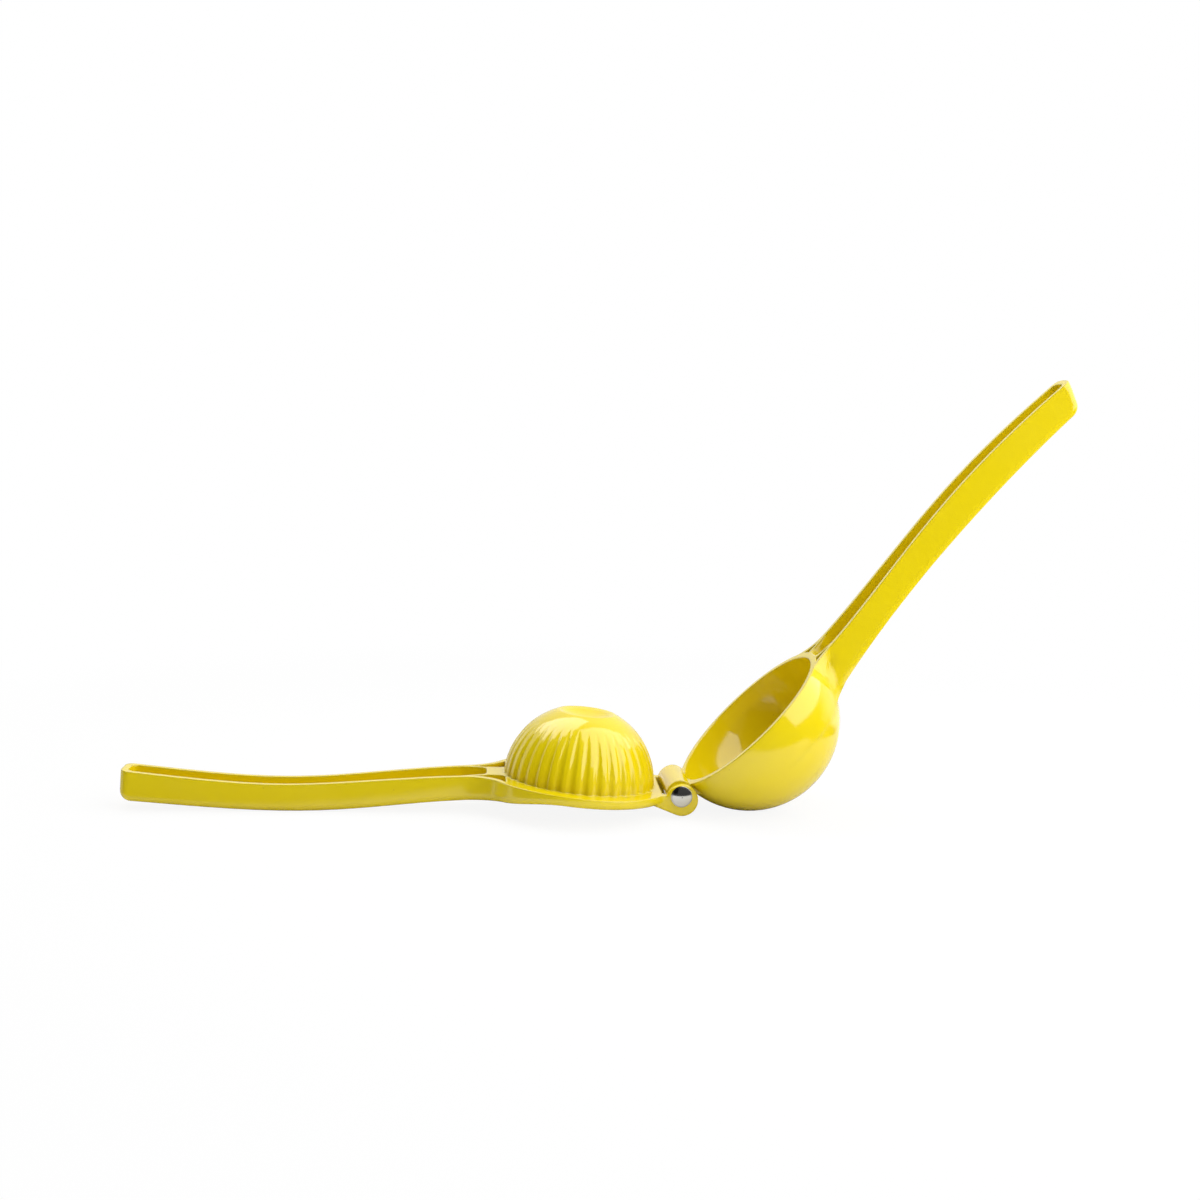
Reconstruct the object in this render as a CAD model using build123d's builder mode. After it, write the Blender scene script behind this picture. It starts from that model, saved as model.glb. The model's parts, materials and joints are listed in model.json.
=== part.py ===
"""Hinged lemon squeezer: two enamelled aluminium castings turning on one steel rivet.

presser_arm  handle channel, flange ring, hollow fluted dome and the two hinge ears
bowl_arm     handle channel, hemispherical bowl with drain holes and the hinge barrel
hinge_rivet  shank with a polished domed head and an upset head, fixed in the ears

Each casting is drawn in its own frame with the hinge axis as Y: X runs out along the arm, and
Z is square to the arm's mating plane, towards the side where the lemon lies. The squeezer stands
open on Z = 0, with its hinge axis along Y and the presser arm towards -X.
"""

import os
from math import acos, asin, atan, cos, degrees, hypot, pi, radians, sin, sqrt, tan

from build123d import *

# ---- Pose at rest -----------------------------------------------------------------------------
PRESSER_TILT = 5.6  # rise of the presser's mating plane from the hinge, degrees
BOWL_RAISE = 45.1  # rise of the bowl's mating plane from the hinge, degrees

# ---- Shared by both castings ------------------------------------------------------------------
CUP_CENTRE = 37.2  # hinge axis to the middle of dome and bowl
HANDLE_ROOT = 84.0  # stations along the handle, from the hinge axis
HANDLE_MID = 128.0
ROOT_WIDTH = 19.2
MID_WIDTH = 15.2
END_WIDTH = 14.0
NECK_SWEEP_R = 17.0  # sweep of the handle's sides into the cup's edge, in plan
TAPER_BLEND_R = 120.0
END_CORNER_R = 3.6  # handle end, in plan
LOWER_EDGE_R = 2.4
WALL = 2.1  # side wall of the handle channel
FLOOR = 2.4  # floor of the handle channel
END_WALL = 2.4
CHANNEL_START = 72.0
CHANNEL_CORNER_R = 2.6
CHANNEL_TIP_WIDTH = 10.4  # where the channel ends at the neck
POCKET_TIP = 77.5  # end of the two pockets beside the neck's web, towards the handle
POCKET_LAND = 1.3  # wall between a pocket and the channel
POCKET_CLEAR = 0.4  # from the cup's edge to a pocket
POCKET_DEPTH = 5.0

# ---- Presser casting --------------------------------------------------------------------------
PRESSER_REACH = 205.5
PRESSER_SET_BACK = 0.4  # the flange's face lies this far under the hinge axis
NECK_START = 46.0  # where the flange's face starts down to the handle
PRESSER_POCKET_START = 65.0
PRESSER_POCKET_SWEEP_R = 3.0  # sweep of the web's sides into the dome's foot
PRESSER_DROP_NECK = 1.0  # fall of the upper side under the flange's face
PRESSER_DROP_ROOT = 2.4
PRESSER_DROP_MID = 9.8
PRESSER_DROP_END = 13.0
PRESSER_DEPTH_NECK = 7.5  # upper side to underside
PRESSER_DEPTH_ROOT = 9.5
PRESSER_DEPTH_MID = 10.5
PRESSER_DEPTH_END = 11.4
PRESSER_END_LEAN = 3.0  # lean of the handle's end face, degrees
PRESSER_HEEL_R = 4.2  # lower corner of the handle end
SKIRT_START = 42.0  # where the flange's underside starts down to the handle
FLANGE_LEDGE = 0.3  # the flange stands this far out past the bowl
FLANGE_DEPTH = 3.7
PEEL_GAP = 3.8  # left for the peel between the dome and the bowl
DOME_DROP = 1.0  # the dome's middle lies this far under the flange's face
DOME_WALL = 2.6
DIMPLE_R = 10.4
DIMPLE_DEPTH = 2.8
DIMPLE_LIP_R = 1.2
FLUTE_COUNT = 36
FLUTE_DEPTH = 0.95  # at the foot of the dome
FLUTE_VALLEY_R = 1.4
FLUTE_FADE = 52.0  # degrees up the dome where a flute runs out
GAP_EDGE = 6.7  # hinge axis to the flange's cut edge beside the barrel

# ---- Hinge ------------------------------------------------------------------------------------
RIVET_D = 5.0
EAR_FIT = 0.03  # radial clearance of the shank in the ears
BARREL_FIT = 0.06  # radial running clearance of the shank in the barrel
BARREL_R = 5.2
BARREL_LENGTH = 26.8
SIDE_PLAY = 0.3  # each side, between barrel and ear
EAR_THICKNESS = 3.3
EAR_R = 5.9
EAR_SET_BACK = 0.5  # middle of the ear's round, away from the cup
EAR_DROP = 1.5  # middle of the ear's round, under the hinge axis
EAR_RUNOUT = 11.5  # where the ear's underside runs out under the flange
EAR_BLEND_R = 0.8  # between the ear's round and the flange's face
EAR_RUNOUT_R = 5.0  # between the ear and the flange's underside
EAR_SWEEP_R = 2.5
EAR_EDGE_R = 0.6
HEAD_D = 7.8
HEAD_HEIGHT = 2.3
HEAD_RIM = 0.4  # straight edge under the head's round
TAIL_D = 7.2
TAIL_HEIGHT = 1.7

# ---- Bowl casting -----------------------------------------------------------------------------
BOWL_REACH = 210.2
BOWL_POCKET_START = 69.2
RIM_STAND = 0.1  # the rim lies this far over the hinge axis, and clear of the flange when closed
BOWL_RISE_ROOT = 0.6  # rise of the channel's lips over the rim
BOWL_RISE_MID = 6.4
BOWL_RISE_END = 9.0
BOWL_DEPTH_ROOT = 12.6
BOWL_DEPTH_MID = 12.0
BOWL_DEPTH_END = 11.2
BOWL_DEPTH_NECK = 16.9  # under the rim, where the handle runs into the bowl
BOWL_END_LEAN = 22.0
BOWL_HEEL_R = 5.0
BOWL_R = 34.4
BOWL_WALL = 2.2
BOWL_DROP = 0.8  # the bowl's middle lies this far under its rim
BLOCK_DEPTH = 7.0  # hinge block under the rim
NECK_DRAFT = 12.0  # how the neck's flare narrows with depth, degrees
DRAIN_D = 3.2
DRAIN_RING_INNER_R = 5.6
DRAIN_RING_OUTER_R = 10.8
DRAIN_COUNT_INNER = 6
DRAIN_COUNT_OUTER = 12

# ---- Worked out -------------------------------------------------------------------------------
EAR_GAP = BARREL_LENGTH + 2 * SIDE_PLAY
HINGE_WIDTH = EAR_GAP + 2 * EAR_THICKNESS
FLANGE_FACE = -PRESSER_SET_BACK
RIM_FACE = RIM_STAND
DOME_MIDDLE = FLANGE_FACE - DOME_DROP
BOWL_MIDDLE = RIM_FACE - BOWL_DROP
BOWL_INNER_R = BOWL_R - BOWL_WALL
FLANGE_R = BOWL_R + FLANGE_LEDGE
DOME_R = BOWL_INNER_R - PEEL_GAP
DOME_INNER_R = DOME_R - DOME_WALL
TILT, RAISE = radians(PRESSER_TILT), radians(BOWL_RAISE)
# The bowl's underside stands on Z = 0, and X = 0 halves the open squeezer.
HINGE_Z = BOWL_R - CUP_CENTRE * sin(RAISE) - BOWL_MIDDLE * cos(RAISE)
PRESSER_SINK = PRESSER_SET_BACK + PRESSER_DROP_END + PRESSER_DEPTH_END / 2
PRESSER_SPAN = PRESSER_REACH * cos(TILT) + PRESSER_SINK * sin(TILT)
BOWL_TOE = BOWL_REACH - BOWL_DEPTH_END * tan(radians(BOWL_END_LEAN))
BOWL_SPAN = BOWL_TOE * cos(RAISE) + (BOWL_DEPTH_END - BOWL_RISE_END - RIM_STAND) * sin(RAISE)
HINGE_X = (PRESSER_SPAN - BOWL_SPAN) / 2
PRESSER_FRAME = Plane((HINGE_X, 0, HINGE_Z), (-cos(TILT), 0, sin(TILT)), (sin(TILT), 0, cos(TILT)))
BOWL_FRAME = Plane((HINGE_X, 0, HINGE_Z), (cos(RAISE), 0, sin(RAISE)), (-sin(RAISE), 0, cos(RAISE)))
RIVET_PLANE = Plane((HINGE_X, 0, HINGE_Z), (-1, 0, 0), (0, 0, 1))  # its Y points to the head
TALL = 2 * CUP_CENTRE  # reaches past either casting, for cutting right through


def border(faces):
    """Edges round the outside of a group of faces, without the seams between them."""
    edges = faces.edges()
    return edges.filter_by(lambda e: sum(e.is_same(other) for other in edges) == 1)


def handle_plan(reach):
    """Plan of a handle, from the middle of its cup to its end."""
    taper = (ROOT_WIDTH - MID_WIDTH) / 2 / (HANDLE_MID - HANDLE_ROOT)
    with BuildSketch() as plan:
        with BuildLine():
            side = Polyline(
                (CUP_CENTRE, 0),
                (CUP_CENTRE, MID_WIDTH / 2 + (HANDLE_MID - CUP_CENTRE) * taper),
                (HANDLE_MID, MID_WIDTH / 2),
                (reach, END_WIDTH / 2),
                (reach, 0),
            )
            mirror(side, about=Plane.XZ)
        make_face()
        fillet(plan.vertices().group_by(Axis.X)[-1], END_CORNER_R)
        bends = plan.vertices().filter_by(lambda v: HANDLE_ROOT < v.X < HANDLE_MID + 1)
        fillet(bends, TAPER_BLEND_R)
    return plan.sketch


def casting_plan(edge_r, handle, hinge_width, hinge_back, sweep_r):
    """Plan of a casting: the cup's round edge swept into the handle, and the hinge end."""
    with BuildSketch() as plan:
        add(handle)
        with Locations((CUP_CENTRE, 0)):
            Circle(edge_r)
        necks = plan.vertices().filter_by(lambda v: CUP_CENTRE + 1 < v.X < HANDLE_ROOT - 5)
        fillet(necks, NECK_SWEEP_R)
        with Locations((-hinge_back, 0)):
            Rectangle(hinge_back + CUP_CENTRE / 2, hinge_width, align=(Align.MIN, Align.CENTER))
        if sweep_r:
            corners = plan.vertices().filter_by(lambda v: 1 < v.X < CUP_CENTRE / 2)
            fillet(corners, sweep_r)
    return plan.sketch


def channel_plan(reach):
    """Plan of the open channel between the handle's side walls."""
    with BuildSketch() as plan:
        with BuildLine():
            side = Polyline(
                (CHANNEL_START, 0),
                (CHANNEL_START, CHANNEL_TIP_WIDTH / 2),
                (HANDLE_ROOT - 3, ROOT_WIDTH / 2 - WALL),
                (HANDLE_MID, MID_WIDTH / 2 - WALL),
                (reach - END_WALL, END_WIDTH / 2 - WALL),
                (reach - END_WALL, 0),
            )
            mirror(side, about=Plane.XZ)
        make_face()
        ends = plan.vertices().group_by(Axis.X)
        fillet(ends[0] + ends[-1], CHANNEL_CORNER_R)
    return plan.sketch


def pocket_plan(casting, cup_r, start, sweep_r):
    """Plan of the two pockets between the neck's web and the casting's outline."""
    channel_spread = (ROOT_WIDTH / 2 - WALL - CHANNEL_TIP_WIDTH / 2) / (HANDLE_ROOT - 3 - CHANNEL_START)
    web_root = CHANNEL_TIP_WIDTH / 2 + POCKET_LAND
    web_end = web_root + (POCKET_TIP - CHANNEL_START) * channel_spread
    with BuildSketch() as web:
        with BuildLine():
            side = Polyline(
                (CUP_CENTRE, 0),
                (CUP_CENTRE, web_root),
                (CHANNEL_START, web_root),
                (POCKET_TIP, web_end),
                (POCKET_TIP, 0),
            )
            mirror(side, about=Plane.XZ)
        make_face()
        with Locations((CUP_CENTRE, 0)):
            Circle(cup_r + POCKET_CLEAR)
        if sweep_r:
            corners = web.vertices().filter_by(lambda v: start - 5 < v.X < CHANNEL_START)
            fillet(corners, sweep_r)
    with BuildSketch() as pockets:
        add(casting)
        offset(amount=-WALL, mode=Mode.REPLACE)
        with Locations((start, 0)):
            Rectangle(
                POCKET_TIP - start, TALL, align=(Align.MIN, Align.CENTER), mode=Mode.INTERSECT
            )
        add(web.sketch, mode=Mode.SUBTRACT)
    return pockets.sketch


def hollow(plan, floor_line, reach):
    """Core of a handle channel: its plan cut through, down to the floor line."""
    with BuildPart() as core:
        with BuildSketch(Plane.XZ):
            with BuildLine():
                floor = Spline(floor_line)
                Polyline(floor @ 1, (reach, TALL), (CHANNEL_START - 5, TALL), floor @ 0)
            make_face()
        extrude(amount=TALL, both=True)
        extrude(plan, amount=TALL, both=True, mode=Mode.INTERSECT)
    return core.part


# ---- Fluted dome, about its own axis ----------------------------------------------------------
dome_top = DOME_MIDDLE + sqrt(DOME_R**2 - DIMPLE_R**2)
hollow_top = dome_top - DIMPLE_DEPTH - DOME_WALL
fade = radians(FLUTE_FADE)
# A flute's floor is an arc that starts under the dome's foot and runs out through its surface.
climb = DOME_R * (1 - cos(fade)) - FLUTE_DEPTH
flute_arc_r = (climb**2 + (DOME_R * sin(fade)) ** 2) / (2 * climb)
flute_axis_x = DOME_R - FLUTE_DEPTH - flute_arc_r
# Across, a flute is a valley between two rounded crests that meet it at one slope.
half_pitch = pi * DOME_R / FLUTE_COUNT
flank = 2 * atan(FLUTE_DEPTH / half_pitch)
crest_r = half_pitch / sin(flank) - FLUTE_VALLEY_R
turn_x = DOME_R - FLUTE_DEPTH + FLUTE_VALLEY_R * (1 - cos(flank))
turn_y = FLUTE_VALLEY_R * sin(flank)

with BuildPart() as flute:
    with BuildSketch(Plane.XY.offset(DOME_MIDDLE)):
        with BuildLine():
            valley = ThreePointArc(
                (turn_x, -turn_y), (DOME_R - FLUTE_DEPTH, 0), (turn_x, turn_y)
            )
            crest = TangentArc(valley @ 1, (DOME_R, half_pitch), tangent=valley % 1)
            Polyline(crest @ 1, (DOME_R + 3, half_pitch), (DOME_R + 3, 0))
            other = TangentArc(valley @ 0, (DOME_R, -half_pitch), tangent=-(valley % 0))
            Polyline(other @ 1, (DOME_R + 3, -half_pitch), (DOME_R + 3, 0))
        make_face()
    revolve(
        axis=Axis((flute_axis_x, 0, DOME_MIDDLE), (0, -1, 0)), revolution_arc=FLUTE_FADE + 12
    )

with BuildPart() as dome:
    with BuildSketch(Plane.XZ):
        with BuildLine():
            outside = CenterArc((0, DOME_MIDDLE), DOME_R, 0, degrees(acos(DIMPLE_R / DOME_R)))
            inside = CenterArc(
                (0, DOME_MIDDLE),
                DOME_INNER_R,
                0,
                degrees(asin((hollow_top - DOME_MIDDLE) / DOME_INNER_R)),
            )
            dish = ThreePointArc(
                outside @ 1,
                (DIMPLE_R / 2, dome_top - DIMPLE_DEPTH * 0.75),
                (0, dome_top - DIMPLE_DEPTH),
            )
            Polyline(dish @ 1, (0, hollow_top), inside @ 1)
            Line(inside @ 0, outside @ 0)
        make_face()
    revolve(axis=Axis.Z)
    lip = dome.edges().filter_by(GeomType.CIRCLE).filter_by(lambda e: abs(e.radius - DIMPLE_R) < 0.01)
    fillet(lip, DIMPLE_LIP_R)
    with PolarLocations(0, FLUTE_COUNT):
        add(flute.part, mode=Mode.SUBTRACT)

# ---- Presser casting, in its own frame --------------------------------------------------------
ear_run = EAR_RUNOUT + EAR_SET_BACK
ear_fall = FLANGE_DEPTH - FLANGE_FACE - EAR_DROP
ear_slope = asin(EAR_R / hypot(ear_run, ear_fall)) - atan(ear_fall / ear_run)
presser_handle = handle_plan(PRESSER_REACH)
presser_plan = casting_plan(
    FLANGE_R, presser_handle, HINGE_WIDTH, EAR_R + EAR_SET_BACK, EAR_SWEEP_R
)
presser_lip_end = (PRESSER_REACH, FLANGE_FACE - PRESSER_DROP_END)
presser_toe = (
    PRESSER_REACH - PRESSER_DEPTH_END * tan(radians(PRESSER_END_LEAN)),
    presser_lip_end[1] - PRESSER_DEPTH_END,
)
presser_neck = (CUP_CENTRE + DOME_R, FLANGE_FACE - PRESSER_DROP_NECK - PRESSER_DEPTH_NECK)
presser_root = (HANDLE_ROOT, FLANGE_FACE - PRESSER_DROP_ROOT - PRESSER_DEPTH_ROOT)
presser_mid = (HANDLE_MID, FLANGE_FACE - PRESSER_DROP_MID - PRESSER_DEPTH_MID)
presser_floor = [
    (CHANNEL_START - 5, presser_neck[1] + FLOOR),
    (HANDLE_ROOT, presser_root[1] + FLOOR),
    (HANDLE_MID, presser_mid[1] + FLOOR),
    (PRESSER_REACH, presser_toe[1] + FLOOR),
]

# Ears: a round about the rivet that runs into the flange's face and underside.
with BuildPart() as ears:
    with BuildSketch(Plane.XZ) as ear_side:
        with Locations((-EAR_SET_BACK, -EAR_DROP)):
            Circle(EAR_R)
        with BuildLine():
            Polyline(
                (-EAR_SET_BACK, -EAR_DROP),
                (-EAR_SET_BACK + EAR_R * sin(ear_slope), -EAR_DROP - EAR_R * cos(ear_slope)),
                (EAR_RUNOUT, FLANGE_FACE - FLANGE_DEPTH),
                (CUP_CENTRE / 2, FLANGE_FACE - FLANGE_DEPTH),
                (CUP_CENTRE / 2, FLANGE_FACE),
                (-EAR_SET_BACK, FLANGE_FACE),
                close=True,
            )
        make_face()
        fillet(ear_side.vertices().sort_by_distance((EAR_R, FLANGE_FACE))[0], EAR_BLEND_R)
        runout = ear_side.vertices().sort_by_distance((EAR_RUNOUT, FLANGE_FACE - FLANGE_DEPTH))[0]
        fillet(runout, EAR_RUNOUT_R)
    extrude(amount=HINGE_WIDTH / 2, both=True)
    ear_rims = ears.faces().filter_by(Axis.Y).edges()
    fillet(ear_rims.filter_by(lambda e: e.center().X < EAR_RUNOUT + 1), EAR_EDGE_R)
    with BuildSketch():
        with Locations((CUP_CENTRE, 0)):
            Circle(DOME_INNER_R)
    extrude(amount=TALL, both=True, mode=Mode.SUBTRACT)

with BuildPart() as presser_casting:
    with BuildSketch(Plane.XZ) as presser_side:
        with BuildLine():
            lips = Spline(
                (NECK_START, FLANGE_FACE),
                (CHANNEL_START, FLANGE_FACE - PRESSER_DROP_NECK),
                (HANDLE_ROOT, FLANGE_FACE - PRESSER_DROP_ROOT),
                (HANDLE_MID, FLANGE_FACE - PRESSER_DROP_MID),
                presser_lip_end,
                tangents=[(1, 0), (1, 0.02)],
            )
            belly = Spline(
                presser_toe,
                presser_mid,
                presser_root,
                presser_neck,
                (SKIRT_START, FLANGE_FACE - FLANGE_DEPTH),
                tangents=[(-1, 0.02), (-1, 0)],
            )
            Line(lips @ 1, belly @ 0)
            Polyline(
                belly @ 1,
                (0, FLANGE_FACE - FLANGE_DEPTH),
                (0, FLANGE_FACE),
                lips @ 0,
            )
        make_face()
        heel = presser_side.vertices().sort_by_distance(presser_toe)[0]
        fillet(heel, PRESSER_HEEL_R)
    extrude(amount=TALL, both=True)
    extrude(presser_plan, amount=TALL, both=True, mode=Mode.INTERSECT)
    underside = presser_casting.faces().filter_by(lambda f: f.normal_at().Z < -0.5)
    lower_edges = border(underside).filter_by(lambda e: e.center().X > GAP_EDGE)
    fillet(lower_edges.filter_by(lambda e: abs(e.center().Y) > 1), LOWER_EDGE_R)

    with BuildSketch():
        with Locations((CUP_CENTRE, 0)):
            Circle(DOME_INNER_R)
    extrude(amount=TALL, both=True, mode=Mode.SUBTRACT)

    add(ears.part)

    # Slot for the barrel, and the rivet's bore.
    with BuildSketch() as slot:
        Rectangle(2 * GAP_EDGE, EAR_GAP)
    extrude(amount=TALL, both=True, mode=Mode.SUBTRACT)
    with BuildSketch(Plane.XZ) as rivet_bore:
        Circle(RIVET_D / 2 + EAR_FIT)
    extrude(amount=HINGE_WIDTH, both=True, mode=Mode.SUBTRACT)

    # Dome, handle channel and the two pockets beside the neck's web.
    with Locations((CUP_CENTRE, 0, 0)):
        add(dome.part)
    add(hollow(channel_plan(PRESSER_REACH), presser_floor, PRESSER_REACH), mode=Mode.SUBTRACT)
    with BuildSketch(Plane.XY.offset(FLANGE_FACE - POCKET_DEPTH)):
        add(pocket_plan(presser_plan, DOME_R, PRESSER_POCKET_START, PRESSER_POCKET_SWEEP_R))
    extrude(amount=TALL, mode=Mode.SUBTRACT)

# ---- Bowl casting, in its own frame -----------------------------------------------------------
bowl_handle = handle_plan(BOWL_REACH)
bowl_plan = casting_plan(BOWL_R, bowl_handle, BARREL_LENGTH, 0, 0)
bowl_lip_end = (BOWL_REACH, RIM_FACE + BOWL_RISE_END)
bowl_toe = (BOWL_TOE, bowl_lip_end[1] - BOWL_DEPTH_END)
bowl_root = (HANDLE_ROOT, RIM_FACE + BOWL_RISE_ROOT - BOWL_DEPTH_ROOT)
bowl_mid = (HANDLE_MID, RIM_FACE + BOWL_RISE_MID - BOWL_DEPTH_MID)
bowl_neck = (CUP_CENTRE + 0.75 * BOWL_R, RIM_FACE - BOWL_DEPTH_NECK)
bowl_floor = [
    (CHANNEL_START - 5, (bowl_neck[1] + bowl_root[1]) / 2 + FLOOR),
    (HANDLE_ROOT, bowl_root[1] + FLOOR),
    (HANDLE_MID, bowl_mid[1] + FLOOR),
    (BOWL_REACH, bowl_toe[1] + FLOOR),
]

with BuildPart() as bowl_side:
    with BuildSketch(Plane.XZ) as bowl_profile:
        with BuildLine():
            lips = Spline(
                (CHANNEL_START + 2, RIM_FACE),
                (HANDLE_ROOT, RIM_FACE + BOWL_RISE_ROOT),
                (HANDLE_MID, RIM_FACE + BOWL_RISE_MID),
                bowl_lip_end,
                tangents=[(1, 0), (1, -0.06)],
            )
            belly = Spline(
                bowl_toe, bowl_mid, bowl_root, bowl_neck, tangents=[(-1, 0.02), (-1, -0.28)]
            )
            Line(lips @ 1, belly @ 0)
            Polyline(belly @ 1, (CUP_CENTRE, bowl_neck[1]), (CUP_CENTRE, RIM_FACE), lips @ 0)
        make_face()
        heel = bowl_profile.vertices().sort_by_distance(bowl_toe)[0]
        fillet(heel, BOWL_HEEL_R)
    extrude(amount=TALL, both=True)

# The neck's flare narrows with depth, to run into the round of the bowl.
with BuildPart() as bowl_neck_flare:
    with BuildSketch(Plane.XY.offset(RIM_FACE + BOWL_RISE_ROOT)):
        add(bowl_plan)
        with Locations((HANDLE_ROOT + BOWL_REACH, 0)):
            Rectangle(2 * BOWL_REACH, TALL, mode=Mode.SUBTRACT)
    extrude(amount=-BOWL_DEPTH_NECK - BOWL_RISE_ROOT, taper=NECK_DRAFT)
    add(bowl_side.part, mode=Mode.INTERSECT)

with BuildPart() as bowl_casting:
    add(bowl_side.part)
    extrude(bowl_handle, amount=TALL, both=True, mode=Mode.INTERSECT)
    underside = bowl_casting.faces().filter_by(lambda f: f.normal_at().Z < -0.5)
    lower_edges = border(underside).filter_by(lambda e: e.center().X > bowl_neck[0] + 1)
    fillet(lower_edges.filter_by(lambda e: abs(e.center().Y) > 1), LOWER_EDGE_R)
    add(bowl_neck_flare.part)

    # Hinge block and barrel.
    with BuildSketch(Plane.XZ) as block_side:
        with BuildLine():
            Polyline(
                (0, RIM_FACE),
                (BARREL_R * cos(pi / 4), -BARREL_R * sin(pi / 4)),
                (BARREL_R + 2, RIM_FACE - BLOCK_DEPTH),
                (CUP_CENTRE / 2, RIM_FACE - BLOCK_DEPTH),
                (CUP_CENTRE / 2, RIM_FACE),
                close=True,
            )
        make_face()
    extrude(amount=BARREL_LENGTH / 2, both=True)
    with BuildSketch(Plane.XZ):
        Circle(BARREL_R)
    extrude(amount=BARREL_LENGTH / 2, both=True)

    # Bowl: a hemisphere with a short straight rim, hollowed to an even wall.
    with BuildSketch(Plane.XZ):
        with BuildLine():
            shell = CenterArc((CUP_CENTRE, BOWL_MIDDLE), BOWL_R, -90, 90)
            Polyline(
                shell @ 1, (CUP_CENTRE + BOWL_R, RIM_FACE), (CUP_CENTRE, RIM_FACE), shell @ 0
            )
        make_face()
    revolve(axis=Axis((CUP_CENTRE, 0, 0), (0, 0, 1)))
    with BuildSketch(Plane.XZ):
        with BuildLine():
            shell = CenterArc((CUP_CENTRE, BOWL_MIDDLE), BOWL_INNER_R, -90, 90)
            Polyline(
                shell @ 1,
                (CUP_CENTRE + BOWL_INNER_R, TALL),
                (CUP_CENTRE, TALL),
                shell @ 0,
            )
        make_face()
    revolve(axis=Axis((CUP_CENTRE, 0, 0), (0, 0, 1)), mode=Mode.SUBTRACT)
    with BuildSketch(Plane.XZ):
        Circle(RIVET_D / 2 + BARREL_FIT)
    extrude(amount=BARREL_LENGTH, both=True, mode=Mode.SUBTRACT)

    # Handle channel, pockets and drain holes.
    add(hollow(channel_plan(BOWL_REACH), bowl_floor, BOWL_REACH), mode=Mode.SUBTRACT)
    with BuildSketch(Plane.XY.offset(RIM_FACE - POCKET_DEPTH)):
        add(pocket_plan(bowl_plan, BOWL_R, BOWL_POCKET_START, 0))
    extrude(amount=TALL, mode=Mode.SUBTRACT)
    with BuildSketch():
        with Locations((CUP_CENTRE, 0)):
            Circle(DRAIN_D / 2)
            with PolarLocations(DRAIN_RING_INNER_R, DRAIN_COUNT_INNER):
                Circle(DRAIN_D / 2)
            with PolarLocations(DRAIN_RING_OUTER_R, DRAIN_COUNT_OUTER):
                Circle(DRAIN_D / 2)
    extrude(amount=-TALL, mode=Mode.SUBTRACT)

# ---- The three pieces, where they stand in the open squeezer ----------------------------------
with BuildPart() as presser_arm:
    with Locations(PRESSER_FRAME):
        add(presser_casting.part)

with BuildPart() as bowl_arm:
    with Locations(BOWL_FRAME):
        add(bowl_casting.part)

with BuildPart() as hinge_rivet:
    with BuildSketch(RIVET_PLANE):
        with BuildLine():
            ear_face = HINGE_WIDTH / 2
            head_r = (HEAD_D**2 / 4 + (HEAD_HEIGHT - HEAD_RIM) ** 2) / 2 / (HEAD_HEIGHT - HEAD_RIM)
            tail_r = (TAIL_D**2 / 4 + TAIL_HEIGHT**2) / 2 / TAIL_HEIGHT
            head = CenterArc(
                (0, ear_face + HEAD_HEIGHT - head_r), head_r, 90, -degrees(asin(HEAD_D / 2 / head_r))
            )
            tail = CenterArc(
                (0, -ear_face - TAIL_HEIGHT + tail_r), tail_r, -90, degrees(asin(TAIL_D / 2 / tail_r))
            )
            Polyline(
                head @ 1,
                (HEAD_D / 2, ear_face),
                (RIVET_D / 2, ear_face),
                (RIVET_D / 2, -ear_face),
                tail @ 1,
            )
            Line(tail @ 0, head @ 0)
        make_face()
    revolve(axis=Axis(RIVET_PLANE.origin, RIVET_PLANE.y_dir))

os.makedirs("parts", exist_ok=True)
presser_arm.part.label = "presser_arm"
export_step(presser_arm.part, "parts/presser_arm.step")
bowl_arm.part.label = "bowl_arm"
export_step(bowl_arm.part, "parts/bowl_arm.step")
hinge_rivet.part.label = "hinge_rivet"
export_step(hinge_rivet.part, "parts/hinge_rivet.step")
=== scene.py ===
"""Finishes, light and camera for a hinged lemon squeezer.

Two enamelled castings, the presser arm with its fluted dome and the bowl arm, turn on one
polished rivet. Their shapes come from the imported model. This script gives them their finishes
and stands them on a pale floor in soft studio light.
"""

import json
import logging
import math
from dataclasses import dataclass, field
from enum import Enum
from typing import Any

import bmesh
import bpy
from mathutils import Matrix, Vector


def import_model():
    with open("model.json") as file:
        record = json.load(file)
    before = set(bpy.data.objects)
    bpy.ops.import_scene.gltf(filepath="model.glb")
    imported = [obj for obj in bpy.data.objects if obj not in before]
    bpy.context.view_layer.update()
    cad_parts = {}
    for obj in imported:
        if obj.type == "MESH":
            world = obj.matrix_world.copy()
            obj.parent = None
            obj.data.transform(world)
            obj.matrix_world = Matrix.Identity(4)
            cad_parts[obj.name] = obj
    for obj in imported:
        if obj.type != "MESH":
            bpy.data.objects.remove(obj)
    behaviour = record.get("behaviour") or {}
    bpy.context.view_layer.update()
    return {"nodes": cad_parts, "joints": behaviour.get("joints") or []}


log = logging.getLogger("squeezer")

Colour = tuple[float, float, float]
Place = tuple[float, float, float]
Span = tuple[float, float]


class Ray(Enum):
    """Kinds of ray that a background may treat on their own."""

    CAMERA = "Is Camera Ray"
    GLOSSY = "Is Glossy Ray"
    TRANSMISSION = "Is Transmission Ray"


class Panel(Enum):
    """What a studio panel does to the light."""

    LAMP = "lamp"
    FLAG = "flag"


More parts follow.
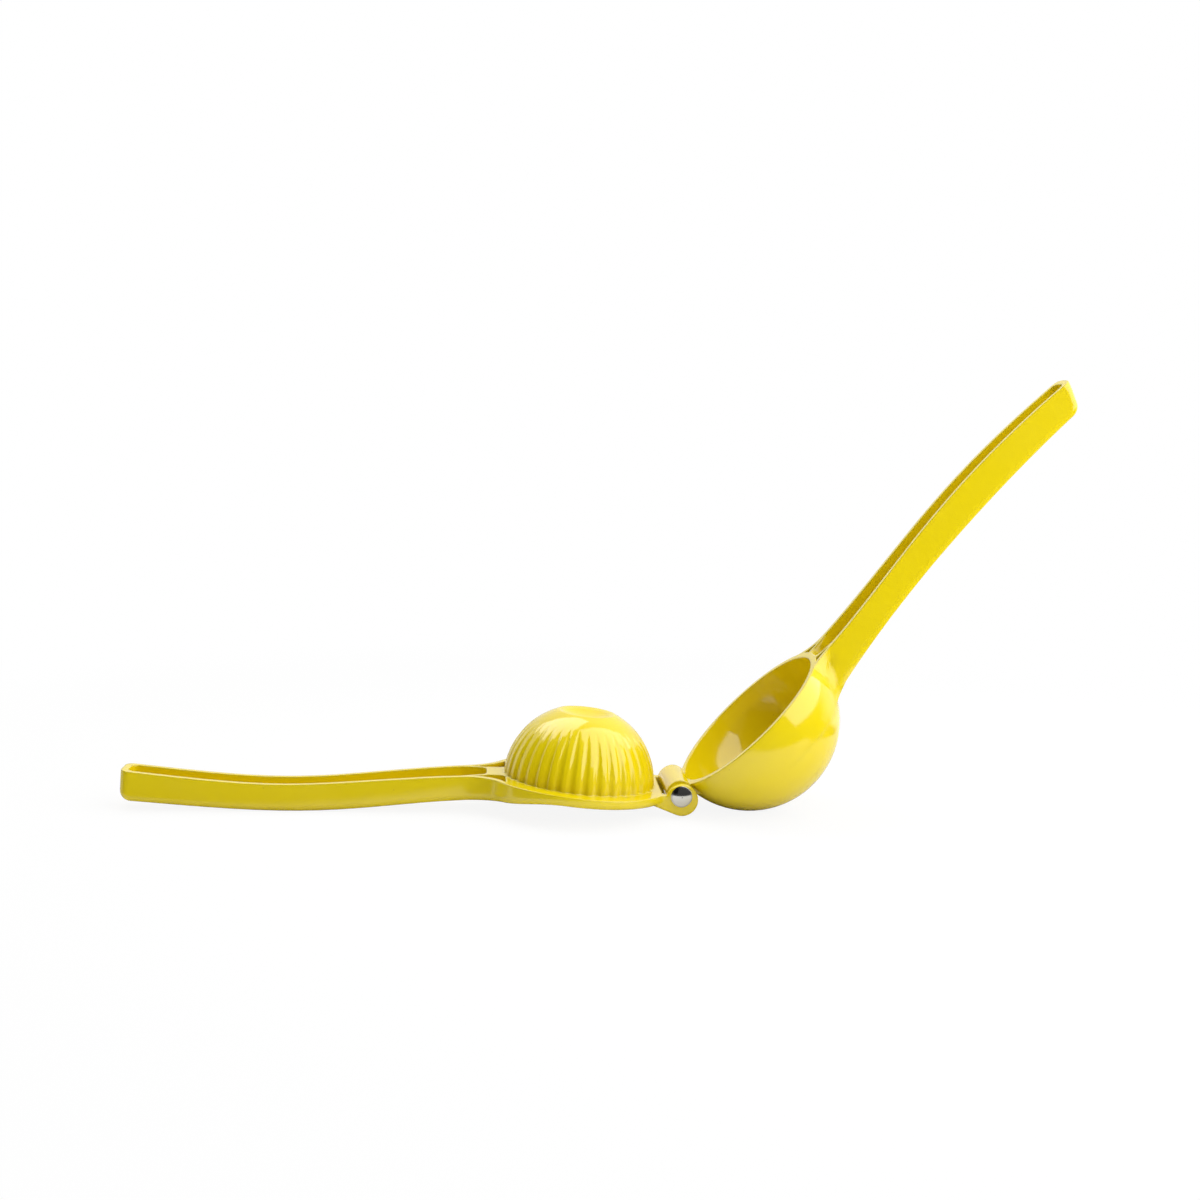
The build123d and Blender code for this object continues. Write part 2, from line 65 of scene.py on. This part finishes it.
class Wire:
    """A shader socket that takes part in sums. Each operator adds one Math node."""

    def __init__(self, graph: "Graph", socket: Any) -> None:
        """Holds a socket of the graph.

        Args:
            graph: the material's graph.
            socket: an output socket in it.
        """
        self.graph = graph
        self.socket = socket

    def _sum(self, operation: str, *terms: Any) -> "Wire":
        """Adds one Math node.

        Args:
            operation: the node's operation.
            terms: its values or wires, in order.

        Returns:
            The node's value.
        """
        return self.graph.node("ShaderNodeMath", {"operation": operation}, *terms)[0]

    def __add__(self, other: Any) -> "Wire":
        """Sum."""
        return self._sum("ADD", self, other)

    def __radd__(self, other: Any) -> "Wire":
        """Sum, number first."""
        return self._sum("ADD", other, self)

    def __sub__(self, other: Any) -> "Wire":
        """Difference."""
        return self._sum("SUBTRACT", self, other)

    def __rsub__(self, other: Any) -> "Wire":
        """Difference, number first."""
        return self._sum("SUBTRACT", other, self)

    def __mul__(self, other: Any) -> "Wire":
        """Product."""
        return self._sum("MULTIPLY", self, other)

    def __rmul__(self, other: Any) -> "Wire":
        """Product, number first."""
        return self._sum("MULTIPLY", other, self)

    def __pow__(self, other: Any) -> "Wire":
        """Power."""
        return self._sum("POWER", self, other)

    def maximum(self, other: Any) -> "Wire":
        """The larger of two values."""
        return self._sum("MAXIMUM", self, other)

    def minimum(self, other: Any) -> "Wire":
        """The smaller of two values."""
        return self._sum("MINIMUM", self, other)

    def ramp(self, low: float, high: float) -> "Wire":
        """A smooth step from 0 at low to 1 at high.

        Args:
            low: value where the step starts.
            high: value where it ends.

        Returns:
            The stepped value.
        """
        settings = {"interpolation_type": "SMOOTHSTEP"}
        return self.graph.node("ShaderNodeMapRange", settings, self, low, high)[0]


class Graph:
    """The node tree of one material or world, filled one node at a time."""

    def __init__(self, owner: Any) -> None:
        """Empties the owner's node tree.

        Args:
            owner: a material or world that uses nodes.
        """
        owner.use_nodes = True
        self.tree = owner.node_tree
        self.tree.nodes.clear()

    def node(
        self, kind: str, settings: dict[str, Any] | None = None, *values: Any, **named: Any
    ) -> list[Wire]:
        """Adds a node, sets it, then gives its inputs their values or links.

        Args:
            kind: Blender's type name of the node.
            settings: properties of the node.
            values: inputs in order, wires or plain values; None leaves one as it is.
            named: inputs by name, with underscores for spaces.

        Returns:
            The node's outputs that are in use, as wires.
        """
        made = self.tree.nodes.new(kind)
        for key, value in (settings or {}).items():
            setattr(made, key, value)
        live = [s for s in made.inputs if s.enabled]
        pairs = list(zip(live, values))
        for name, value in named.items():
            pairs.append((next(s for s in live if s.name == name.replace("_", " ")), value))
        for socket, value in pairs:
            if isinstance(value, Wire):
                self.tree.links.new(value.socket, socket)
            elif value is not None:
                socket.default_value = self._fitted(socket, value)
        return [Wire(self, s) for s in made.outputs if s.enabled]

    @staticmethod
    def _fitted(socket: Any, value: Any) -> Any:
        """A value as its socket takes it; three numbers become a colour where one is needed."""
        if socket.type == "RGBA" and isinstance(value, tuple) and len(value) == 3:
            return (*value, 1.0)
        return value

    def place(self) -> Wire:
        """Object coordinates; in a world they are directions."""
        return self.node("ShaderNodeTexCoord")[3]

    def vector(self, operation: str, *terms: Any) -> Wire:
        """Adds one Vector Math node.

        Args:
            operation: the node's operation.
            terms: its vectors, in order.

        Returns:
            The vector or value that it gives.
        """
        return self.node("ShaderNodeVectorMath", {"operation": operation}, *terms)[0]

    def softened(self, radius: Any) -> Wire:
        """The normal, with edges rounded by a radius."""
        return self.node("ShaderNodeBevel", {"samples": 8}, radius)[0]

    def bump(self, strength: float, distance: float, height: Wire, normal: Any = None) -> Wire:
        """Raises a relief on the surface.

        Args:
            strength: how strong the relief is.
            distance: its height, in metres.
            height: the relief, 0 to 1.
            normal: the normal under it, or None for the surface's own.

        Returns:
            The normal of the relief.
        """
        return self.node(
            "ShaderNodeBump", None,
            Strength=strength, Distance=distance, Height=height, Normal=normal,
        )[0]

    def output(self, surface: Wire) -> None:
        """Makes a shader the material's surface."""
        self.node("ShaderNodeOutputMaterial", None, surface)

    def mix(self, factor: Any, first: Any, second: Any) -> Wire:
        """Mixes two colours.

        Args:
            factor: share of the second colour.
            first: the first colour.
            second: the second colour.

        Returns:
            The mixed colour.
        """
        settings = {"data_type": "RGBA", "blend_type": "MIX", "clamp_factor": True}
        return self.node("ShaderNodeMix", settings, factor, first, second)[0]

    def noise(self, place: Wire, scale: float, detail: float = 2.0, rough: float = 0.5) -> Wire:
        """Noise in object space.

        Args:
            place: coordinates, in metres.
            scale: waves a metre.
            detail: how many finer layers it has.
            rough: how strong they are.

        Returns:
            A value between 0 and 1.
        """
        return self.node(
            "ShaderNodeTexNoise", None, Vector=place, Scale=scale, Detail=detail, Roughness=rough
        )[0]

    def specks(self, place: Wire, scale: float, size: float, share: float) -> Wire:
        """Sparse round dots.

        Args:
            place: coordinates, in metres.
            scale: cells a metre.
            size: a dot's radius, as a share of a cell.
            share: share of the cells that hold one.

        Returns:
            1 in a dot and 0 outside it.
        """
        distance, tint = self.node("ShaderNodeTexVoronoi", None, Vector=place, Scale=scale)[:2]
        lot = self.node("ShaderNodeSeparateColor", None, tint)[0]
        return (1 - distance.ramp(size * 0.5, size)) * (1 - lot.ramp(share, share + 0.01))

    def lean(self, normal: Wire, towards: Any, share: Any) -> Wire:
        """Turns a normal part of the way towards a direction of the object's own.

        Args:
            normal: the normal, in world space.
            towards: the direction, in object space.
            share: how far it turns, 0 to 1.

        Returns:
            The turned normal.
        """
        settings = {"vector_type": "NORMAL", "convert_from": "OBJECT", "convert_to": "WORLD"}
        target = self.node("ShaderNodeVectorTransform", settings, towards)[0]
        mixed = self.node("ShaderNodeMix", {"data_type": "VECTOR"}, share, normal, target)[0]
        return self.vector("NORMALIZE", mixed)

    def rays(self, *kinds: Ray) -> Wire:
        """1 for the named kinds of ray, 0 for the rest.

        Args:
            kinds: the kinds of ray.

        Returns:
            The mask.
        """
        path = self.tree.nodes.new("ShaderNodeLightPath")
        total = Wire(self, path.outputs[kinds[0].value])
        for kind in kinds[1:]:
            total = total.maximum(Wire(self, path.outputs[kind.value]))
        return total


@dataclass(frozen=True)
class Blend:
    """A round region of a casting where the enamel runs over edges with a radius of its own."""

    middle: Place
    core: float
    rim: float
    radius: float


@dataclass(frozen=True)
class EnamelFinish:
    """Thick glossy enamel on a casting: darker in hollows as painted shade, paler where thin
    over edges, faintly rippled.
    """

    name: str = "yellow_enamel_coat"
    body: Colour = (0.790, 0.618, 0.0040)
    # deeper colour: painted shade in hollows, and also random cloudy tone
    deep_tone_and_shade: Colour = (0.735, 0.575, 0.0025)
    thin: Colour = (0.840, 0.690, 0.0350)
    glassiness: float = 1.75
    dust: Colour = (0.42, 0.27, 0.004)
    edge_radius: float = 0.0008
    edge_turn: Span = (0.80, 0.995)
    edge_thinning: float = 0.35
    blends: tuple[Blend, ...] = ()
    dome_middle: Place = (0.0, 0.0, 0.0)
    dome_span: Span = (0.0, 0.0)
    dome_margin: float = 0.0003
    dome_calm: float = 0.0
    # reach and span of the painted shade in hollows, and how strongly it darkens the colour
    painted_shade_reach: float = 0.0030
    painted_shade_span: Span = (0.25, 0.85)
    hollow_painted_shade: float = 0.10
    cloud_waves: float = 38.0
    cloud_pooling: float = 0.25
    flow_waves: float = 130.0
    flow_pooling: float = 0.10
    dust_cells: float = 420.0
    dust_size: float = 0.13
    dust_share: float = 0.035
    dust_cover: float = 0.45
    gloss: float = 0.085
    handled_waves: float = 24.0
    rubbed_waves: float = 700.0
    swell_waves: float = 45.0
    swell_height: float = 0.55
    ripple_waves: float = 210.0
    ripple_height: float = 0.085
    relief_strength: float = 0.35
    relief_height: float = 0.0006

    def material(self) -> bpy.types.Material:
        """Builds the coat.

        Returns:
            The finished material.
        """
        made = bpy.data.materials.new(self.name)
        graph = Graph(made)
        place = graph.place()
        softened = graph.softened(self._edge_radius(graph, place))
        if self.dome_calm:
            softened = self._calmed(graph, place, softened)
        dust = graph.specks(place, self.dust_cells, self.dust_size, self.dust_share)
        surface = graph.node(
            "ShaderNodeBsdfPrincipled", None,
            Base_Color=self._colour(graph, place, softened, dust),
            Roughness=self._roughness(graph, place, dust),
            IOR=self.glassiness,
            Normal=self._relief(graph, place, softened, dust),
        )[0]
        graph.output(surface)
        return made

    def _edge_radius(self, graph: Graph, place: Wire) -> Any:
        """The radius of rounded edges, which grows inside each blend.

        Args:
            graph: the material's graph.
            place: object coordinates.

        Returns:
            The radius, a plain number where the casting has no blend.
        """
        radius: Any = self.edge_radius
        for blend in self.blends:
            span = graph.vector("DISTANCE", place, blend.middle)
            nearby = 1 - span.ramp(blend.core, blend.rim)
            radius = radius + (blend.radius - radius) * nearby
        return radius

    def _colour(self, graph: Graph, place: Wire, softened: Wire, dust: Wire) -> Wire:
        """The coat's colour: darker in hollows as painted shade, deeper in random clouds, paler
        over edges, with dust in it.

        Args:
            graph: the material's graph.
            place: object coordinates.
            softened: the normal with rounded edges.
            dust: mask of the dust specks.

        Returns:
            The colour.
        """
        turned = graph.vector("DOT_PRODUCT", softened, graph.node("ShaderNodeNewGeometry")[1])
        edge = 1 - turned.ramp(*self.edge_turn)
        # painted shade: ambient occlusion over a few millimetres darkens the colour in hollows,
        # flute valleys and channels
        open_sky = graph.node(
            "ShaderNodeAmbientOcclusion", {"samples": 8, "only_local": True},
            Distance=self.painted_shade_reach,
        )[1]
        painted_hollow_shade = 1 - open_sky.ramp(*self.painted_shade_span)
        cloud = graph.noise(place, self.cloud_waves, 3.0)
        flow = graph.noise(place, self.flow_waves, 2.0)
        # the deeper colour mixes painted shade in hollows with random cloudy tone
        shade_and_tone = painted_hollow_shade * self.hollow_painted_shade
        shade_and_tone = shade_and_tone + cloud.ramp(0.45, 0.75) * self.cloud_pooling
        shade_and_tone = shade_and_tone + flow.ramp(0.5, 0.8) * self.flow_pooling
        colour = graph.mix(shade_and_tone.minimum(1.0), self.body, self.deep_tone_and_shade)
        thinning = self.edge_thinning + self.edge_thinning * flow
        colour = graph.mix(edge * thinning, colour, self.thin)
        return graph.mix(dust * self.dust_cover, colour, self.dust)

    def _roughness(self, graph: Graph, place: Wire, dust: Wire) -> Wire:
        """The coat's roughness: duller where hands hold it and where it is rubbed.

        Args:
            graph: the material's graph.
            place: object coordinates.
            dust: mask of the dust specks.

        Returns:
            The roughness.
        """
        handled = graph.noise(place, self.handled_waves, 4.0, 0.65).ramp(0.46, 0.66)
        rubbed = graph.noise(place, self.rubbed_waves, 2.0, 0.6).ramp(0.50, 0.78)
        return self.gloss + handled * 0.035 + rubbed * handled * 0.03 + dust * 0.15

    def _relief(self, graph: Graph, place: Wire, softened: Wire, dust: Wire) -> Wire:
        """The coat's slow swell, fine ripple and dust, as a normal.

        Args:
            graph: the material's graph.
            place: object coordinates.
            softened: the normal with rounded edges.
            dust: mask of the dust specks.

        Returns:
            The normal.
        """
        swell = graph.noise(place, self.swell_waves, 1.0)
        ripple = graph.noise(place, self.ripple_waves, 2.0, 0.4)
        height = swell * self.swell_height + ripple * self.ripple_height + dust * 0.03
        return graph.bump(self.relief_strength, self.relief_height, height, softened)

    def _calmed(self, graph: Graph, place: Wire, normal: Wire) -> Wire:
        """Fills the flutes' relief with enamel, so that light runs over them more evenly.

        Args:
            graph: the material's graph.
            place: object coordinates.
            normal: the surface's normal.

        Returns:
            The normal, leant towards the dome's own round inside its shell.
        """
        outward = graph.vector("SUBTRACT", place, self.dome_middle)
        span = graph.vector("LENGTH", outward)
        low, high = self.dome_span
        over_low = span.ramp(low - self.dome_margin, low)
        under_high = 1 - span.ramp(high, high + self.dome_margin)
        share = over_low * under_high * self.dome_calm
        return graph.lean(normal, graph.vector("NORMALIZE", outward), share)


@dataclass(frozen=True)
class SteelFinish:
    """Polished steel with faint turning marks round the rivet's axis and fine hairlines."""

    name: str = "polished_rivet_steel"
    bright: Colour = (0.80, 0.79, 0.76)
    stained: Colour = (0.52, 0.50, 0.45)
    gloss: float = 0.055
    flatness: float = 0.62
    edge_radius: float = 0.00025
    rim_span: Span = (0.0031, 0.0037)
    turning_waves: float = 9000.0
    hair_waves: float = 2600.0
    smudge_waves: float = 260.0
    relief_strength: float = 0.18
    relief_height: float = 0.00006
    axis_point: Place = (0.0, 0.0, 0.0)

    def material(self) -> bpy.types.Material:
        """Builds the steel.

        Returns:
            The finished material.
        """
        made = bpy.data.materials.new(self.name)
        graph = Graph(made)
        place = graph.place()
        centred = graph.vector("SUBTRACT", place, self.axis_point)
        across, along, up = graph.node("ShaderNodeSeparateXYZ", None, centred)
        radius = (across * across + up * up) ** 0.5
        turned = graph.node(
            "ShaderNodeTexNoise", {"noise_dimensions": "1D"},
            W=radius * self.turning_waves, Scale=1.0, Detail=2.0,
        )[0]
        hairs = graph.noise(place, self.hair_waves, 3.0, 0.7).ramp(0.62, 0.74)
        smudge = graph.noise(place, self.smudge_waves, 3.0)
        rim = radius.ramp(*self.rim_span)

        stain = (smudge.ramp(0.50, 0.80) * 0.25 + rim * 0.55 + hairs * 0.08).minimum(1.0)
        colour = graph.mix(stain, self.bright, self.stained)
        roughness = self.gloss + smudge * 0.05 + rim * 0.12 + hairs * 0.05
        height = turned * 0.10 + hairs * 0.25 + smudge * 0.15
        side = along.ramp(-0.0001, 0.0001) * 2 - 1
        outward = graph.node("ShaderNodeCombineXYZ", None, 0.0, side, 0.0)[0]
        softened = graph.lean(graph.softened(self.edge_radius), outward, self.flatness)
        surface = graph.node(
            "ShaderNodeBsdfPrincipled", None,
            Base_Color=colour, Metallic=1.0, Roughness=roughness,
            Normal=graph.bump(self.relief_strength, self.relief_height, height, softened),
        )[0]
        graph.output(surface)
        return made


@dataclass(frozen=True)
class FloorFinish:
    """Matt white paper that runs out into a white background."""

    name: str = "white_paper"
    paper: Colour = (0.88, 0.88, 0.88)
    fibre: Colour = (0.80, 0.80, 0.80)
    grain_waves: float = 900.0
    lift: float = 0.90
    near: float = 0.22
    far: float = 0.45
    right_edge: float = 0.195
    front_edge: float = 0.088
    front_left_edge: float = 0.018
    front_turn: Span = (-0.125, 0.010)
    rear: Span = (0.060, 0.140)
    mirrored: float = 0.68
    beyond: float = 0.04

    def material(self) -> bpy.types.Material:
        """Builds the paper.

        Returns:
            The finished material.
        """
        made = bpy.data.materials.new(self.name)
        graph = Graph(made)
        place = graph.place()
        grain = graph.noise(place, self.grain_waves, 3.0)
        tone = graph.mix(grain * 0.10, self.paper, self.fibre)
        bumped = graph.bump(0.1, 0.0002, grain)
        paper = graph.node("ShaderNodeBsdfDiffuse", None, tone, 0.5, bumped)[0]
        white = graph.node("ShaderNodeEmission", None, (1.0, 1.0, 1.0), 1.0)[0]
        night = graph.node("ShaderNodeEmission", None, (0.0, 0.0, 0.0), 0.0)[0]
        dimmed = graph.rays(Ray.GLOSSY) * self._dimming(graph, place)
        seen = graph.node("ShaderNodeMixShader", None, dimmed, paper, night)[0]
        away = graph.vector("LENGTH", place).ramp(self.near, self.far)
        share = graph.rays(Ray.CAMERA) * (self.lift + (1 - self.lift) * away)
        surface = graph.node("ShaderNodeMixShader", None, share, seen, white)[0]
        graph.output(surface)
        return made

    def _dimming(self, graph: Graph, place: Wire) -> Wire:
        """How dark the paper mirrors in the enamel: darkest past its front and right edges.

        Args:
            graph: the material's graph.
            place: object coordinates.

        Returns:
            The share of black, 0 to 1.
        """
        across, along, _ = graph.node("ShaderNodeSeparateXYZ", None, place)
        past_right = across.ramp(self.right_edge - 0.004, self.right_edge + 0.004)
        widening = across.ramp(*self.front_turn) * (self.front_edge - self.front_left_edge)
        past_front = (0 - along - self.front_left_edge - widening).ramp(-0.010, 0.010)
        past_edge = past_right.maximum(past_front)
        dimmed = (1 - self.mirrored) + (self.mirrored - self.beyond) * past_edge
        return dimmed * (1 - along.ramp(*self.rear))


@dataclass
class Arm:
    """One casting of the squeezer, dressed in enamel."""

    node: str
    finish: EnamelFinish = field(default_factory=EnamelFinish)

    def dress(self, nodes: dict[str, Any]) -> bpy.types.Object:
        """Gives the casting its coat.

        Args:
            nodes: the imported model's objects by name.

        Returns:
            The casting's object.
        """
        return coat(nodes[self.node], self.finish.material())


@dataclass
class Rivet:
    """The rivet on which the two arms turn."""

    node: str = "hinge_rivet"
    finish: SteelFinish = field(default_factory=SteelFinish)

    def dress(self, nodes: dict[str, Any]) -> bpy.types.Object:
        """Gives the rivet its polish.

        Args:
            nodes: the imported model's objects by name.

        Returns:
            The rivet's object.
        """
        return coat(nodes[self.node], self.finish.material())


@dataclass
class StudioPanel:
    """A flat rectangle beside the squeezer: a soft lamp, or a dark flag.

    Its back is the direction away from what it lights, and across is the way its width runs.
    """

    name: str
    kind: Panel
    place: Place
    back: Place
    across: Place
    width: float
    height: float
    radiance: float = 0.0
    tint: Colour = (1.0, 1.0, 1.0)

    def _stance(self) -> Matrix:
        """Where the panel stands, with its -Z towards what it lights."""
        back = Vector(self.back).normalized()
        up = back.cross(Vector(self.across)).normalized()
        turned = Matrix((up.cross(back), up, back)).transposed().to_4x4()
        return Matrix.Translation(self.place) @ turned

    def build(self) -> bpy.types.Object:
        """Makes the panel.

        Returns:
            The lamp or the flag.
        """
        if self.kind is Panel.LAMP:
            lamp = bpy.data.lights.new(self.name, "AREA")
            lamp.shape = "RECTANGLE"
            lamp.size, lamp.size_y = self.width, self.height
            lamp.energy = self.radiance * self.width * self.height * math.pi
            lamp.color = self.tint
            made = bpy.data.objects.new(self.name, lamp)
            made.matrix_world = self._stance()
            bpy.context.scene.collection.objects.link(made)
            return made
        shape = bmesh.new()
        bmesh.ops.create_grid(shape, x_segments=1, y_segments=1, size=0.5)
        bmesh.ops.scale(shape, vec=(self.width, self.height, 1.0), verts=shape.verts)
        bmesh.ops.transform(shape, matrix=self._stance(), verts=shape.verts)
        made = mesh_object(self.name, shape)
        cloth = bpy.data.materials.new(self.name + "_cloth")
        graph = Graph(cloth)
        black = graph.node("ShaderNodeBsdfDiffuse", None, self.tint)[0]
        graph.output(black)
        made.data.materials.append(cloth)
        return made


@dataclass
class Studio:
    """Floor, soft light, white background and the camera."""

    floor_radius: float = 6.0
    ambient: float = 0.64
    front_gleam: float = 0.05
    rear_gleam: float = 0.90
    camera_place: Place = (-0.04224, -0.59030, 0.15141)
    camera_right: Place = (0.99749, -0.06819, 0.01915)
    camera_up: Place = (-0.01070, 0.12211, 0.99246)
    lens: float = 48.0
    panels: list[StudioPanel] = field(default_factory=lambda: [
        StudioPanel(
            "right_box", Panel.LAMP, (0.309, -0.229, 0.369),
            back=(0.716, -0.022, 0.698), across=(0.669, 0.308, -0.676),
            width=0.724, height=0.775, radiance=1.9,
        ),
        StudioPanel(
            "left_box", Panel.LAMP, (-0.201, 0.110, 0.512),
            back=(-0.208, 0.733, 0.648), across=(-0.563, -0.631, 0.533),
            width=0.435, height=0.420, radiance=2.4,
        ),
        StudioPanel(
            "left_flag", Panel.FLAG, (-0.72, -0.60, 0.39),
            back=(-0.72, -0.60, 0.34), across=(0.64, -0.77, 0.0),
            width=2.0, height=1.3, tint=(0.01, 0.01, 0.01),
        ),
    ])

    def build_floor(self) -> bpy.types.Object:
        """Lays the floor.

        Returns:
            The floor's object.
        """
        shape = bmesh.new()
        bmesh.ops.create_circle(shape, cap_ends=True, segments=96, radius=self.floor_radius)
        floor = mesh_object("paper_floor", shape)
        floor.data.materials.append(FloorFinish().material())
        return floor

    def build_world(self) -> bpy.types.World:
        """Surrounds the scene with soft light that looks white from the camera.

        Returns:
            The world.
        """
        world = bpy.data.worlds.new("soft_white_room")
        bpy.context.scene.world = world
        graph = Graph(world)
        seen = graph.rays(Ray.CAMERA, Ray.TRANSMISSION)
        strength = self.ambient + (1.0 - self.ambient) * seen
        rearward = graph.node("ShaderNodeSeparateXYZ", None, graph.place())[1].ramp(-0.05, 0.45)
        gleam = self.front_gleam + (self.rear_gleam - self.front_gleam) * rearward
        strength = strength + (gleam - self.ambient) * graph.rays(Ray.GLOSSY)
        room = graph.node("ShaderNodeBackground", None, (1.0, 1.0, 1.0), strength)[0]
        graph.node("ShaderNodeOutputWorld", None, room)
        return world

    def build_camera(self) -> bpy.types.Object:
        """Sets up the camera.

        Returns:
            The camera's object.
        """
        lens = bpy.data.cameras.new("studio_camera")
        lens.lens = self.lens
        lens.sensor_fit = "HORIZONTAL"
        lens.sensor_width = 36.0
        lens.clip_start, lens.clip_end = 0.01, 50.0
        lens.dof.use_dof = False
        camera = bpy.data.objects.new("studio_camera", lens)
        right = Vector(self.camera_right).normalized()
        back = right.cross(Vector(self.camera_up)).normalized()
        up = back.cross(right)
        turned = Matrix((right, up, back)).transposed().to_4x4()
        camera.matrix_world = Matrix.Translation(self.camera_place) @ turned
        bpy.context.scene.collection.objects.link(camera)
        bpy.context.scene.camera = camera
        return camera

    def build(self) -> None:
        """Builds the whole studio."""
        bpy.context.scene.view_settings.view_transform = "Standard"
        self.build_world()
        self.build_floor()
        self.build_camera()
        for panel in self.panels:
            panel.build()
            log.info("panel %s", panel.name)


def coat(made: bpy.types.Object, finish: bpy.types.Material) -> bpy.types.Object:
    """Gives an object one finish and no other.

    Args:
        made: the object.
        finish: its material.

    Returns:
        The same object.
    """
    made.data.materials.clear()
    made.data.materials.append(finish)
    return made


def mesh_object(name: str, shape: bmesh.types.BMesh) -> bpy.types.Object:
    """Turns a finished bmesh into an object at the origin.

    Args:
        name: the object's name.
        shape: the bmesh, which is freed.

    Returns:
        The object.
    """
    mesh = bpy.data.meshes.new(name)
    shape.to_mesh(mesh)
    shape.free()
    made = bpy.data.objects.new(name, mesh)
    bpy.context.scene.collection.objects.link(made)
    return made


def main() -> None:
    """Builds the squeezer's looks, in order."""
    logging.basicConfig(level=logging.INFO)
    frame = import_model()

    arms = (
        Arm("presser_arm", EnamelFinish(
            "yellow_enamel_presser", edge_radius=0.0010,
            dome_middle=(-0.0073, 0.0, 0.0108), dome_span=(0.0272, 0.0287), dome_calm=0.28,
        )),
        Arm("bowl_arm", EnamelFinish("yellow_enamel_bowl", edge_radius=0.0008, blends=(
            Blend((0.0920, 0.0, -0.0009), 0.0550, 0.0580, 0.0030),
            Blend((0.0980, 0.0, 0.0500), 0.0170, 0.0210, 0.0055),
        ))),
    )
    for arm in arms:
        made = arm.dress(frame["nodes"])
        log.info("%s dressed, %d faces", made.name, len(made.data.polygons))

    hinge = next(joint for joint in frame["joints"] if joint["name"] == "hinge")
    steel = SteelFinish(axis_point=tuple(hinge["pos_m"]))
    made = Rivet(finish=steel).dress(frame["nodes"])
    log.info("%s dressed, %d faces", made.name, len(made.data.polygons))

    Studio().build()


if __name__ == "__main__":
    main()
